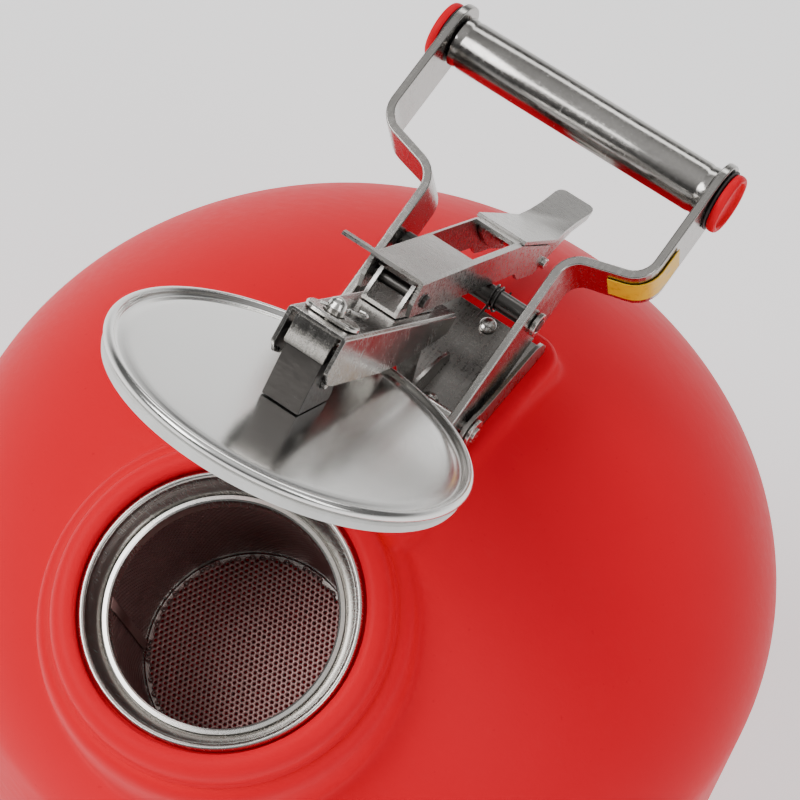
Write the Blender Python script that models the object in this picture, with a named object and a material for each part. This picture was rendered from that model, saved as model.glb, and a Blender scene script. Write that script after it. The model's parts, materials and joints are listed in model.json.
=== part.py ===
"""Wide mouth safety can for flammable liquid, with a linked lid and bail.

Frame: origin at the centre of the base, +Z up, mouth towards -Y, grip towards +Y.
Sizes below are in millimetres. Heights in the tables are measured from the
shoulder line, where the straight wall meets the dome, and point() shifts them.
"""
import math

import bmesh
import bpy
from mathutils import Matrix, Vector

for existing in list(bpy.data.objects):
    bpy.data.objects.remove(existing, do_unlink=True)

MM = 0.001

# Can
BODY_R = 152.5
BASE_R = 148.0
WALL_H = 211.0
DOME_H = 104.5
DOME_POWER = 1.7
SKIN = 4.5
PAD_Z = 101.0
PAD_HALF_X = 36.0
PAD_Y = (-46.0, 54.0)

# Mouth: centre and tilt of its axis towards the front
MOUTH_Y = -91.3
MOUTH_Z = 80.0
MOUTH_TILT = 19.1
BASKET_DEPTH = 70.0

# Main pivot of arm and bail
PIVOT_Y = 1.4
PIVOT_Z = 108.3
PIVOT_R = 2.5
RUN = 0.35

# Lid, shown open
LID_Y = -65.7
LID_Z = 180.7
LID_TILT = 36.1
LID_R = 61.6
STUD_R = 3.2
LID_PIN_H = 10.0

# Cap arm: top line of its web, and its sheet
ARM_FRONT = (-56.0, 211.7)
ARM_SLOPE = 44.2
ARM_LEN = 102.6
ARM_HALF = 10.5
SHEET = 1.5

# Lever
LEVER_FRONT = (-10.5, 189.4)
LEVER_SLOPE = 38.7
LEVER_LEN = 121.0
LEVER_DEPTH = 13.4
LEVER_PIN = (-9.0, 177.8)
THUMB_FRONT = (60.8, 133.4)
THUMB_BEND = (91.0, 101.0)
THUMB_END = (121.0, 86.0)
THUMB_PIN = (79.0, 101.0)

# Bail
STRIP = 3.0
BAIL_X_IN = 27.0
BAIL_X_OUT = 53.5
BAIL_START = (-4.5, 109.0)
BAIL_RISE = (21.0, 16.7)
BAIL_BEND_AT = 73.5
BAIL_BEND_R = 9.0
BAIL_BEND_DEG = 75.0
BAIL_HALF = 12.5
EYE_AT = 118.45
SHAFT = (39.2, 127.2)
GRIP = (107.4, 147.7)
GRIP_R = 9.2

RED = (0.62, 0.03, 0.02)
STEEL = (0.62, 0.61, 0.58)
DARK = (0.10, 0.095, 0.09)


def point(x, y, z):
    """A point in metres from millimetres, with z measured from the shoulder line."""
    return Vector((x, y, z + WALL_H)) * MM


def axis_frame(y, z, tilt_deg):
    """Frame with local z along an axis that leans by tilt_deg towards +Y, local x along +X."""
    place = Matrix.Translation(point(0.0, y, z))
    turn = Matrix.Rotation(math.radians(-tilt_deg), 4, "X")
    return place @ turn


MOUTH = axis_frame(MOUTH_Y, MOUTH_Z, -MOUTH_TILT)
LID = axis_frame(LID_Y, LID_Z, LID_TILT)
LID_PIN_AT = LID @ Vector((0.0, 0.0, LID_PIN_H * MM))
PIVOT_AT = point(0.0, PIVOT_Y, PIVOT_Z)
LEVER_AT = point(0.0, LEVER_PIN[0], LEVER_PIN[1])
THUMB_AT = point(0.0, THUMB_PIN[0], THUMB_PIN[1])
CAN_AT = Vector((0.0, 0.0, 0.0))
MOUTH_AT = point(0.0, MOUTH_Y, MOUTH_Z)
ACROSS = Matrix.Rotation(math.radians(90.0), 4, "Y")


def make_material(name, colour, rough, metal):
    """A Principled BSDF with one colour, roughness and metallic value."""
    material = bpy.data.materials.new(name)
    material.use_nodes = True
    shader = material.node_tree.nodes["Principled BSDF"]
    shader.inputs["Base Color"].default_value = (colour[0], colour[1], colour[2], 1.0)
    shader.inputs["Roughness"].default_value = rough
    shader.inputs["Metallic"].default_value = metal
    material.diffuse_color = (colour[0], colour[1], colour[2], 1.0)
    return material


def finish(bm, name, look, origin, smooth=False):
    """Close a bmesh into a named object whose origin is the given world point."""
    bmesh.ops.remove_doubles(bm, verts=bm.verts, dist=0.000001)
    bmesh.ops.recalc_face_normals(bm, faces=bm.faces)
    bmesh.ops.translate(bm, verts=bm.verts, vec=-origin)
    mesh = bpy.data.meshes.new(name)
    bm.to_mesh(mesh)
    bm.free()
    obj = bpy.data.objects.new(name, mesh)
    obj.location = origin
    bpy.context.scene.collection.objects.link(obj)
    colour, rough, metal = look
    mesh.materials.append(make_material(name, colour, rough, metal))
    if smooth:
        mesh.shade_smooth()
        mesh.set_sharp_from_angle(angle=math.radians(32.0))
    return obj


def turned(name, profile, frame, look, origin, steps=32, closed=True):
    """Spin a profile of (radius, height) points about a frame's local z."""
    bm = bmesh.new()
    verts = [bm.verts.new((r * MM, 0.0, h * MM)) for r, h in profile]
    edges = [bm.edges.new((a, b)) for a, b in zip(verts, verts[1:])]
    if closed:
        edges.append(bm.edges.new((verts[-1], verts[0])))
    bmesh.ops.spin(bm, geom=verts + edges, cent=(0.0, 0.0, 0.0), axis=(0.0, 0.0, 1.0),
                   angle=2.0 * math.pi, steps=steps, use_merge=True, use_duplicate=False)
    bmesh.ops.transform(bm, matrix=frame, verts=bm.verts)
    return finish(bm, name, look, origin, smooth=True)


def loft(name, sections, look, origin, smooth=False):
    """Bridge a row of equal closed sections, given as world points, and cap both ends."""
    bm = bmesh.new()
    rings = [[bm.verts.new(p) for p in section] for section in sections]
    count = len(rings[0])
    for first, second in zip(rings, rings[1:]):
        for i in range(count):
            j = (i + 1) % count
            bm.faces.new((first[i], first[j], second[j], second[i]))
    bm.faces.new(list(reversed(rings[0])))
    bm.faces.new(rings[-1])
    return finish(bm, name, look, origin, smooth)


def plate(name, outline, x0, x1, look, origin):
    """A flat plate across X from a closed outline of (y, z) points."""
    low = [point(x0, y, z) for y, z in outline]
    high = [point(x1, y, z) for y, z in outline]
    return loft(name, [low, high], look, origin)


def wire(name, path, radius, sides, look, origin):
    """A round wire along a row of world points."""
    sections = []
    normal = None
    for i, here in enumerate(path):
        ahead = path[min(i + 1, len(path) - 1)]
        behind = path[max(i - 1, 0)]
        along = (ahead - behind).normalized()
        if normal is None:
            seed = Vector((1.0, 0.0, 0.0))
            if abs(along.x) > 0.8:
                seed = Vector((0.0, 0.0, 1.0))
            normal = (seed - along * seed.dot(along)).normalized()
        normal = (normal - along * normal.dot(along)).normalized()
        side = along.cross(normal)
        ring = []
        for k in range(sides):
            angle = 2.0 * math.pi * k / sides
            ring.append(here + (normal * math.cos(angle) + side * math.sin(angle)) * radius * MM)
        sections.append(ring)
    return loft(name, sections, look, origin, smooth=True)


def rod(name, centre, x0, x1, radius, look, origin, steps=20):
    """A round bar across X."""
    y, z = centre
    profile = [(0.0, x0), (radius, x0), (radius, x1), (0.0, x1)]
    frame = Matrix.Translation(point(0.0, y, z)) @ ACROSS
    return turned(name, profile, frame, look, origin, steps, closed=False)


def sleeve(name, centre, x0, x1, inner, outer, look, origin, steps=24):
    """A ring or tube across X."""
    y, z = centre
    profile = [(inner, x0), (outer, x0), (outer, x1), (inner, x1)]
    frame = Matrix.Translation(point(0.0, y, z)) @ ACROSS
    return turned(name, profile, frame, look, origin, steps)


def carve(target, tool, operation="DIFFERENCE"):
    """Cut a tool from an object, or join it on, with an exact boolean."""
    tool.hide_render = True
    tool.display_type = "WIRE"
    step = target.modifiers.new(tool.name, "BOOLEAN")
    step.operation = operation
    step.solver = "EXACT"
    step.object = tool


def drill(target, name, centre, x0, x1, radius):
    """A round hole across X."""
    tool = rod(name, centre, x0, x1, radius, (DARK, 0.5, 0.0), Vector((0.0, 0.0, 0.0)), 20)
    carve(target, tool)


def dome_height(radius, full_r, full_h):
    """Height of the dome above the shoulder line at a radius."""
    share = min(1.0, max(0.0, radius / full_r))
    return full_h * (1.0 - share ** DOME_POWER) ** (1.0 / DOME_POWER)


def can_profile(inset, top, rings):
    """Axis to axis profile of the can, inset from its outer skin."""
    full_r = BODY_R - inset
    base_r = BASE_R - inset
    edge = 22.0 - inset
    base = -WALL_H + inset
    rows = [(0.0, base + 4.0), (108.0, base + 4.0), (113.0, base)]
    for k in range(5):
        angle = math.radians(-90.0 + 90.0 * k / 4.0)
        rows.append((base_r - edge + edge * math.cos(angle), base + edge + edge * math.sin(angle)))
    flat = full_r * (1.0 - (top / (DOME_H - inset)) ** DOME_POWER) ** (1.0 / DOME_POWER)
    for k in range(rings + 1):
        angle = math.pi / 2.0 * k / rings
        radius = full_r + (flat - full_r) * math.sin(angle) ** 1.0 * k / rings
        radius = full_r - (full_r - flat) * (1.0 - math.cos(angle))
        rows.append((radius, min(top, dome_height(radius, full_r, DOME_H - inset))))
    rows.append((0.0, top))
    return [(r, h) for r, h in rows]


def rounded_box(half_x, y0, y1, corner, z):
    """Corner points of a rounded rectangle at one height."""
    points = []
    centres = [(half_x - corner, y1 - corner, 0.0), (-half_x + corner, y1 - corner, 90.0),
               (-half_x + corner, y0 + corner, 180.0), (half_x - corner, y0 + corner, 270.0)]
    for cx, cy, start in centres:
        for k in range(4):
            angle = math.radians(start + 30.0 * k)
            points.append(point(cx + corner * math.cos(angle), cy + corner * math.sin(angle), z))
    return points


def build_can():
    """Moulded can: dome, raised pad and stepped collar, hollow and open at the mouth."""
    look = (RED, 0.45, 0.0)
    can_frame = Matrix.Translation(point(0.0, 0.0, 0.0))
    can = turned("can_body", can_profile(0.0, PAD_Z, 9), can_frame, look, CAN_AT, 56, closed=False)
    collar = [(0.0, -55.0), (66.0, -55.0), (63.6, -9.0), (62.0, -1.4), (60.8, 1.0), (58.4, 1.8),
              (57.4, 2.8), (56.6, 5.6), (55.4, 8.4), (53.6, 9.8), (51.4, 10.3), (49.4, 9.8), (0.0, 9.8)]
    carve(can, turned("collar_form", collar, MOUTH, look, CAN_AT, 56, closed=False), "UNION")
    rows = [rounded_box(PAD_HALF_X + 2.5, PAD_Y[0], PAD_Y[1] + 2.5, 10.0, 60.0),
            rounded_box(PAD_HALF_X + 1.5, PAD_Y[0], PAD_Y[1] + 1.5, 10.0, PAD_Z - 2.2),
            rounded_box(PAD_HALF_X, PAD_Y[0], PAD_Y[1], 9.0, PAD_Z)]
    carve(can, loft("pad_form", rows, look, CAN_AT), "UNION")
    inner = can_profile(SKIN, PAD_Z - SKIN, 7)
    carve(can, turned("cavity_form", inner, can_frame, look, CAN_AT, 48, closed=False))
    bore = [(0.0, -62.0), (42.3, -62.0), (42.3, -2.9), (46.4, 4.0), (47.7, 5.0), (47.8, 8.0),
            (48.7, 9.4), (50.4, 12.5), (0.0, 12.5)]
    carve(can, turned("bore_form", bore, MOUTH, look, CAN_AT, 56, closed=False))


def build_neck():
    """Steel ring with a rolled bead, and the lift-out perforated basket."""
    ring = [(39.4, -22.0), (39.4, -1.5), (40.8, -1.5), (41.0, 0.3), (44.3, 6.2), (44.9, 7.4),
            (45.7, 8.0), (46.5, 7.8), (47.1, 7.0), (47.0, 6.0), (46.2, 5.3), (45.6, 4.9),
            (42.3, -0.9), (41.9, -2.5), (41.9, -22.0)]
    turned("neck_ring", ring, MOUTH, (STEEL, 0.3, 1.0), CAN_AT, 56)
    low = -BASKET_DEPTH
    wall = [(38.1, low + 1.4), (38.1, -0.4), (38.7, 0.3), (40.3, 0.3), (40.4, -1.1), (38.9, -1.1),
            (38.9, low), (36.0, low), (36.0, low + 1.0)]
    turned("arrester_basket", wall, MOUTH, (STEEL, 0.35, 1.0), MOUTH_AT, 40)
    floor = [(0.0, low + 1.4), (37.7, low + 1.4), (37.7, low + 2.4), (0.0, low + 2.4)]
    turned("basket_floor", floor, MOUTH, (STEEL, 0.35, 1.0), MOUTH_AT, 40, closed=False)


def build_bracket():
    """Folded bracket on the pad: floor, two inner ears and two outer ears."""
    low = PAD_Z + 0.3
    top = low + SHEET
    ear = PIVOT_Z + 5.7
    wing = 31.2
    look = ((0.16, 0.15, 0.14), 0.35, 1.0)
    floor = [(-wing, -4.6, low), (wing, -4.6, low), (wing, 48.0, low), (-wing, 48.0, low)]
    rows = [[point(x, y, z) for x, y, z in floor], [point(x, y, top) for x, y, z in floor]]
    bracket = loft("base_bracket", rows, look, CAN_AT)
    inner = [(-5.4, low + 0.4), (24.0, low + 0.4), (24.0, 106.5), (18.0, 110.5), (8.0, ear - 1.0),
             (4.0, ear), (-0.5, ear), (-4.0, ear - 2.0), (-5.4, ear - 5.5)]
    outer = [(-4.6, low + 0.4), (48.0, low + 0.4), (48.0, 105.0), (45.5, 109.0), (41.0, 111.6),
             (8.0, 112.4), (4.0, ear), (-0.5, ear), (-4.0, ear - 2.0), (-4.6, ear - 5.5)]
    for side in (-1.0, 1.0):
        tag = "left" if side < 0 else "right"
        spans = (("inner_ear", inner, 6.3), ("outer_ear", outer, 29.7))
        for word, outline, near in spans:
            x0, x1 = sorted((side * near, side * (near + SHEET)))
            carve(bracket, plate(word + "_form_" + tag, outline, x0, x1, look, CAN_AT), "UNION")
    drill(bracket, "pivot_hole_form", (PIVOT_Y, PIVOT_Z), -40.0, 40.0, PIVOT_R + RUN)


def build_rivets():
    """Dome rivets that hold the bracket down."""
    base = PAD_Z + SHEET + 0.6
    profile = [(0.0, base), (3.3, base), (3.2, base + 0.8), (2.4, base + 1.6), (1.2, base + 2.0),
               (0.0, base + 2.1)]
    places = (("front_left", -11.9, 6.0), ("front_right", 11.9, 6.0),
              ("rear_left", -10.3, 43.5), ("rear_right", 10.3, 43.5))
    for tag, x, y in places:
        turned("rivet_" + tag, profile, Matrix.Translation(point(x, y, 0.0)),
               (STEEL, 0.3, 1.0), CAN_AT, 14, closed=False)


def build_pivot():
    """Main pivot pin and its two push-on clips."""
    centre = (PIVOT_Y, PIVOT_Z)
    rod("pivot_pin", centre, -33.6, 33.6, PIVOT_R, (STEEL, 0.3, 1.0), CAN_AT)
    for tag, x in (("left", -32.9), ("right", 31.6)):
        sleeve("pivot_clip_" + tag, centre, x, x + 1.3, PIVOT_R + RUN, 5.2,
               (STEEL, 0.35, 1.0), CAN_AT, 16)


def channel(name, start, slope, stations, look, origin, sheet=SHEET):
    """Inverted U along a falling line: stations are (distance, half width, wall depth)."""
    turn = math.radians(slope)
    along = (math.cos(turn), -math.sin(turn))
    normal = (math.sin(turn), math.cos(turn))
    sections = []
    for distance, half, depth in stations:
        outline = [(-half, -depth), (-half, -1.0), (-half + 1.0, 0.0), (half - 1.0, 0.0),
                   (half, -1.0), (half, -depth), (half - sheet, -depth), (half - sheet, -sheet),
                   (-half + sheet, -sheet), (-half + sheet, -depth)]
        section = []
        for x, height in outline:
            y = start[0] + along[0] * distance + normal[0] * height
            z = start[1] + along[1] * distance + normal[1] * height
            section.append(point(x, y, z))
        sections.append(section)
    return loft(name, sections, look, origin)


def on_line(start, slope, distance, height):
    """(y, z) at a distance along a falling line and a height above it."""
    turn = math.radians(slope)
    y = start[0] + math.cos(turn) * distance + math.sin(turn) * height
    z = start[1] - math.sin(turn) * distance + math.cos(turn) * height
    return (y, z)


def build_arm():
    """Cap arm over the lid, its pivot yoke, and the channel that carries the lever."""
    look = (STEEL, 0.32, 1.0)
    stations = [(0.0, ARM_HALF, 13.0), (5.0, ARM_HALF, 17.0), (10.0, ARM_HALF, 18.0),
                (52.0, ARM_HALF, 17.6), (62.0, ARM_HALF, 16.6), (76.0, ARM_HALF, 14.4),
                (ARM_LEN, ARM_HALF, 7.5)]
    arm = channel("cap_arm", ARM_FRONT, ARM_SLOPE, stations, look, PIVOT_AT)
    tab = [on_line(ARM_FRONT, ARM_SLOPE, 0.6, -0.9), on_line(ARM_FRONT, ARM_SLOPE, 2.4, -0.9),
           on_line(ARM_FRONT, ARM_SLOPE, 2.4, -10.4), on_line(ARM_FRONT, ARM_SLOPE, 1.6, -11.6),
           on_line(ARM_FRONT, ARM_SLOPE, 0.9, -10.4)]
    carve(arm, plate("tab_form", tab, -7.4, 7.4, look, PIVOT_AT), "UNION")
    hole = [(0.0, 22.0), (STUD_R + 0.7, 22.0), (STUD_R + 0.7, 34.0), (0.0, 34.0)]
    carve(arm, turned("stud_hole_form", hole, LID, look, PIVOT_AT, 20, closed=False))
    top_front = on_line(ARM_FRONT, ARM_SLOPE, 70.0, -SHEET - 0.4)
    top_back = on_line(ARM_FRONT, ARM_SLOPE, 99.0, -SHEET - 0.4)
    outline = [top_front, (-11.5, 149.0), (-3.7, 112.0)]
    for k in range(7):
        angle = math.radians(170.0 + 200.0 * k / 6.0)
        outline.append((PIVOT_Y + 5.2 * math.cos(angle), PIVOT_Z + 5.2 * math.sin(angle)))
    outline += [(7.4, 118.0), (10.6, 134.0), top_back]
    yoke = plate("pivot_yoke", outline, -4.5, 4.5, look, PIVOT_AT)
    drill(yoke, "yoke_hole_form", (PIVOT_Y, PIVOT_Z), -8.0, 8.0, PIVOT_R + RUN)
    build_inner_channel()


def build_inner_channel():
    """Open channel fixed on the arm web, with a slot in its floor."""
    look = (STEEL, 0.35, 1.0)
    half = 6.75
    sections = []
    for distance, height in ((50.6, 4.0), (53.5, 12.0), (66.0, 12.4), (80.0, 12.4), (86.0, 5.0)):
        base = 0.35
        outline = [(-half, base), (half, base), (half, height), (half - 1.4, height),
                   (half - 1.4, base + 1.4), (-half + 1.4, base + 1.4), (-half + 1.4, height),
                   (-half, height)]
        section = []
        for x, h in outline:
            y, z = on_line(ARM_FRONT, ARM_SLOPE, distance, h)
            section.append(point(x, y, z))
        sections.append(section)
    inner = loft("inner_channel", sections, look, PIVOT_AT)
    drill(inner, "lever_hole_form", LEVER_PIN, -9.0, 9.0, 2.2 + RUN)
    rod("lever_pin", LEVER_PIN, -11.4, 11.4, 2.2, (DARK, 0.4, 1.0), PIVOT_AT, 18)


def build_lid():
    """Spun lid with rolled rim, seal, clamp plate, nut and its folded foot."""
    rim = LID_R - 2.2
    profile = [(0.0, -0.2), (50.0, -0.2), (53.5, -0.9), (57.0, -0.7)]
    for k in range(7):
        angle = math.radians(140.0 - 200.0 * k / 6.0)
        profile.append((rim + 2.2 * math.cos(angle), -1.0 + 2.2 * math.sin(angle)))
    profile += [(59.0, -2.4), (56.0, -2.1), (53.0, -2.2), (50.0, -1.5), (0.0, -1.5)]
    origin = LID_PIN_AT
    turned("lid_disc", profile, LID, (STEEL, 0.14, 1.0), origin, 56, closed=False)
    seal = [(12.0, -1.9), (49.6, -1.9), (53.0, -2.6), (56.6, -2.6), (58.4, -3.6), (60.2, -3.7),
            (60.3, -6.4), (59.0, -6.9), (57.4, -6.4), (56.6, -4.0), (46.6, -4.0), (46.2, -6.6),
            (12.0, -6.6)]
    turned("lid_gasket", seal, LID, ((0.85, 0.85, 0.83), 0.6, 0.0), origin, 48)
    clamp = [(0.0, -7.0), (38.0, -7.0), (38.0, -8.6), (0.0, -8.6)]
    turned("gasket_plate", clamp, LID, (STEEL, 0.35, 1.0), origin, 36, closed=False)
    nut = [(0.0, -9.0), (7.5, -9.0), (7.5, -13.7), (0.0, -13.7)]
    turned("gasket_nut", nut, LID, (STEEL, 0.35, 1.0), origin, 6, closed=False)
    build_lid_bracket(origin)


def lid_block(name, half, v0, v1, h0, h1, look, origin):
    """A block in the lid's frame: half width across X, v along local y, h along its axis."""
    rows = []
    for h in (h0, h1):
        corners = ((-half, v0), (half, v0), (half, v1), (-half, v1))
        rows.append([LID @ Vector((x * MM, v * MM, h * MM)) for x, v in corners])
    return loft(name, rows, look, origin)


def build_lid_bracket(origin):
    """Foot that stands on the lid and holds the clevis pin."""
    look = ((0.14, 0.13, 0.12), 0.4, 1.0)
    half = 6.7
    rows = []
    for x in (-half, half):
        outline = ((-9.0, 0.2), (13.0, 0.2), (13.0, 3.0), (9.5, 9.0), (7.2, 15.0), (7.0, 18.5),
                   (-9.0, 18.5))
        rows.append([LID @ Vector((x * MM, v * MM, h * MM)) for v, h in outline])
    bracket = loft("lid_bracket", rows, look, origin)
    carve(bracket, lid_block("foot_room_form", half - SHEET, -7.5, 20.0, 1.7, 17.0, look, origin))
    hole = [(0.0, 15.0), (4.1, 15.0), (4.1, 22.0), (0.0, 22.0)]
    carve(bracket, turned("foot_hole_form", hole, LID, look, origin, 20, closed=False))
    centre = (LID_PIN_AT.y / MM, LID_PIN_AT.z / MM - WALL_H)
    drill(bracket, "foot_pin_form", centre, -10.0, 10.0, 1.6 + RUN)
    rod("lid_pin", centre, -8.3, 8.3, 1.6, (STEEL, 0.3, 1.0), origin, 16)
    stud = [(0.0, 5.6), (STUD_R, 5.6), (STUD_R, 33.6), (2.6, 35.4), (1.3, 36.4), (0.0, 36.6)]
    stem = turned("cap_stud", stud, LID, (STEEL, 0.25, 1.0), LID_PIN_AT, 20, closed=False)
    drill(stem, "stud_eye_form", centre, -5.0, 5.0, 1.6 + RUN)
    build_stud_parts(stem)


def build_stud_parts(stem):
    """Oval washer on the web, cotter pin through the stud, and the relief spring."""
    web = on_line(ARM_FRONT, ARM_SLOPE, 10.6, 0.35)
    turn = Matrix.Rotation(math.radians(-(ARM_SLOPE)), 4, "X")
    frame = Matrix.Translation(point(0.0, web[0], web[1])) @ turn
    rows = []
    for h, grow in ((0.0, 0.0), (1.0, 0.0), (1.5, -0.5)):
        ring = []
        for k in range(24):
            angle = 2.0 * math.pi * k / 24
            shift = 4.2 if math.cos(angle) > 0 else -4.2
            radius = 5.2 + grow
            ring.append(frame @ (Vector((shift + radius * math.cos(angle),
                                         radius * math.sin(angle), h)) * MM))
        rows.append(ring)
    washer = loft("stud_washer", rows, (STEEL, 0.3, 1.0), PIVOT_AT, smooth=True)
    hole = [(0.0, 26.0), (STUD_R + 0.6, 26.0), (STUD_R + 0.6, 34.5), (0.0, 34.5)]
    carve(washer, turned("washer_hole_form", hole, LID, (STEEL, 0.3, 1.0), PIVOT_AT, 20, closed=False))
    height = 33.1
    turn = math.radians(35.0)
    way = Vector((math.cos(turn), math.sin(turn), 0.0))
    side = Vector((-math.sin(turn), math.cos(turn), 0.0))
    path = [LID @ ((way * d + Vector((0.0, 0.0, height))) * MM) for d in (-5.4, -1.0, 3.4)]
    for k in range(11):
        angle = math.radians(-80.0 + 310.0 * k / 10.0)
        spot = way * (7.4 + 3.0 * math.sin(angle)) + side * (1.4 * (1.0 - math.cos(angle)))
        path.append(LID @ ((spot + Vector((0.0, 0.0, height))) * MM))
    wire("cotter_pin", path[:12], 0.6, 6, (STEEL, 0.3, 1.0), LID_PIN_AT)
    tool = wire("cotter_hole_form", [LID @ ((way * d + Vector((0.0, 0.0, height))) * MM)
                                     for d in (-6.0, 0.0, 6.0)], 0.95, 10, (DARK, 0.5, 0.0), LID_PIN_AT)
    carve(stem, tool)
    path = []
    for k in range(3 * 14 + 1):
        angle = 2.0 * math.pi * k / 14
        rise = 19.7 + 5.8 * k / 42.0
        path.append(LID @ (Vector((5.2 * math.cos(angle), 5.2 * math.sin(angle), rise)) * MM))
    wire("relief_spring", path, 0.65, 6, (STEEL, 0.3, 1.0), PIVOT_AT)


def build_lever():
    """Long cover lever, open on top behind its web, with the thumb plate pinned to its end."""
    look = (STEEL, 0.3, 1.0)
    stations = [(0.0, 10.0, LEVER_DEPTH - 5.0), (2.5, 10.0, LEVER_DEPTH), (45.0, 9.6, LEVER_DEPTH),
                (98.0, 9.5, LEVER_DEPTH), (105.0, 9.5, LEVER_DEPTH + 3.6),
                (121.0, 9.5, LEVER_DEPTH + 3.8), (124.6, 9.5, LEVER_DEPTH + 1.5)]
    lever = channel("latch_lever", LEVER_FRONT, LEVER_SLOPE, stations, look, LEVER_AT)
    for tag, d0, d1 in (("a", 45.5, 85.5), ("b", 90.0, 130.0)):
        slot = [on_line(LEVER_FRONT, LEVER_SLOPE, d0, 4.0), on_line(LEVER_FRONT, LEVER_SLOPE, d1, 4.0),
                on_line(LEVER_FRONT, LEVER_SLOPE, d1, -3.0), on_line(LEVER_FRONT, LEVER_SLOPE, d0, -3.0)]
        carve(lever, plate("web_slot_form_" + tag, slot, -8.0, 8.0, look, LEVER_AT))
    rise = math.atan2(THUMB_FRONT[1] - THUMB_BEND[1], THUMB_BEND[0] - THUMB_FRONT[0])
    slope = math.degrees(rise)
    under = [on_line(THUMB_FRONT, slope, -1.0, -SHEET - 0.5), on_line(THUMB_FRONT, slope, 80.0, -SHEET - 0.5),
             on_line(THUMB_FRONT, slope, 80.0, 20.0), on_line(THUMB_FRONT, slope, -1.0, 20.0)]
    carve(lever, plate("thumb_room_form", under, -12.0, 12.0, look, LEVER_AT))
    drill(lever, "lever_front_form", LEVER_PIN, -14.0, 14.0, 2.2 + RUN)
    drill(lever, "lever_rear_form", THUMB_PIN, -14.0, 14.0, 2.0 + RUN)
    lip = [on_line(LEVER_FRONT, LEVER_SLOPE, 0.4, -0.1), on_line(LEVER_FRONT, LEVER_SLOPE, 3.0, -0.1),
           on_line(LEVER_FRONT, LEVER_SLOPE, 3.0, -1.3), on_line(LEVER_FRONT, LEVER_SLOPE, 0.4, -1.3)]
    carve(lever, plate("lip_form", lip, -21.6, -9.2, look, LEVER_AT), "UNION")
    rod("thumb_pin", THUMB_PIN, -11.2, 11.2, 2.0, (STEEL, 0.3, 1.0), LEVER_AT, 18)
    build_thumb()


def build_thumb():
    """Thumb plate: a bent plate with two skirts inside the lever walls."""
    look = (STEEL, 0.28, 1.0)
    rows = ((0.0, 9.8, 3.0, 0), (3.0, 9.8, 6.0, 0), (14.0, 9.6, 10.0, 0), (26.0, 9.3, 12.6, 0),
            (38.0, 8.9, 12.6, 0), (44.0, 8.4, 10.0, 1), (52.0, 7.6, 7.0, 2), (62.0, 7.35, 4.6, 2),
            (73.0, 7.7, 3.6, 2), (75.6, 7.4, 3.2, 2), (77.2, 6.6, 3.0, 2), (78.0, 5.2, 2.8, 2))
    rise = math.degrees(math.atan2(THUMB_FRONT[1] - THUMB_BEND[1], THUMB_BEND[0] - THUMB_FRONT[0]))
    fall = math.degrees(math.atan2(THUMB_BEND[1] - THUMB_END[1], THUMB_END[0] - THUMB_BEND[0]))
    first = math.dist(THUMB_FRONT, THUMB_BEND)
    sections = []
    for distance, half, depth, zone in rows:
        if zone == 0:
            centre = on_line(THUMB_FRONT, rise, distance, 0.0)
            slope = rise
        if zone == 1:
            centre = THUMB_BEND
            slope = (rise + fall) / 2.0
        if zone == 2:
            centre = on_line(THUMB_BEND, fall, distance - first, 0.0)
            slope = fall
        skirt = min(7.6, half - 0.3)
        t = SHEET
        outline = [(-half, 0.0), (half, 0.0), (half, -t), (skirt, -t), (skirt, -depth),
                   (skirt - t, -depth), (skirt - t, -t - 0.01), (-skirt + t, -t - 0.01),
                   (-skirt + t, -depth), (-skirt, -depth), (-skirt, -t), (-half, -t)]
        section = []
        for x, height in outline:
            y, z = on_line(centre, slope, 0.0, height)
            section.append(point(x, y, z))
        sections.append(section)
    thumb = loft("thumb_lever", sections, look, THUMB_AT)
    drill(thumb, "thumb_hole_form", THUMB_PIN, -14.0, 14.0, 2.0 + RUN)


def table(rows, at):
    """Straight-line reading of a table of (station, value)."""
    for (s0, v0), (s1, v1) in zip(rows, rows[1:]):
        if s0 <= at <= s1:
            return v0 + (v1 - v0) * (at - s0) / (s1 - s0)
    return rows[-1][1]


def bail_angle(s):
    """Rise of the strip's centre line, which eases a little through the crank."""
    share = min(1.0, max(0.0, (s - BAIL_BEND_AT + 10.0) / 20.0))
    return math.radians(BAIL_RISE[0] + (BAIL_RISE[1] - BAIL_RISE[0]) * share)


def bail_centre(s):
    """(y, z) of the strip's centre line at a distance along it."""
    y, z = BAIL_START
    if s < 0.0:
        angle = bail_angle(0.0)
        return (y + s * math.cos(angle), z + s * math.sin(angle))
    done = 0.0
    while done < s:
        step = min(1.0, s - done)
        angle = bail_angle(done + step / 2.0)
        y += step * math.cos(angle)
        z += step * math.sin(angle)
        done += step
    return (y, z)


def bail_route(fronts, backs, steps):
    """Stations (distance, x, turn): straight, a bend outward, a bend back, straight."""
    bend = math.radians(BAIL_BEND_DEG)
    radius = BAIL_BEND_R
    out = BAIL_X_OUT - BAIL_X_IN
    run = (out - 2.0 * radius * (1.0 - math.cos(bend))) / math.sin(bend)
    reach = 2.0 * radius * math.sin(bend) + run * math.cos(bend)
    start = BAIL_BEND_AT - reach / 2.0
    route = [(s, BAIL_X_IN, 0.0) for s in fronts if s < start - 1.0]
    for k in range(steps + 1):
        turn = bend * k / steps
        route.append((start + radius * math.sin(turn), BAIL_X_IN + radius * (1.0 - math.cos(turn)), turn))
    for k in range(steps + 1):
        turn = bend * (1.0 - k / steps)
        route.append((start + reach - radius * math.sin(turn),
                      BAIL_X_OUT - radius * (1.0 - math.cos(turn)), turn))
    route += [(s, BAIL_X_OUT, 0.0) for s in backs if s > start + reach + 1.0]
    return route


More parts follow.
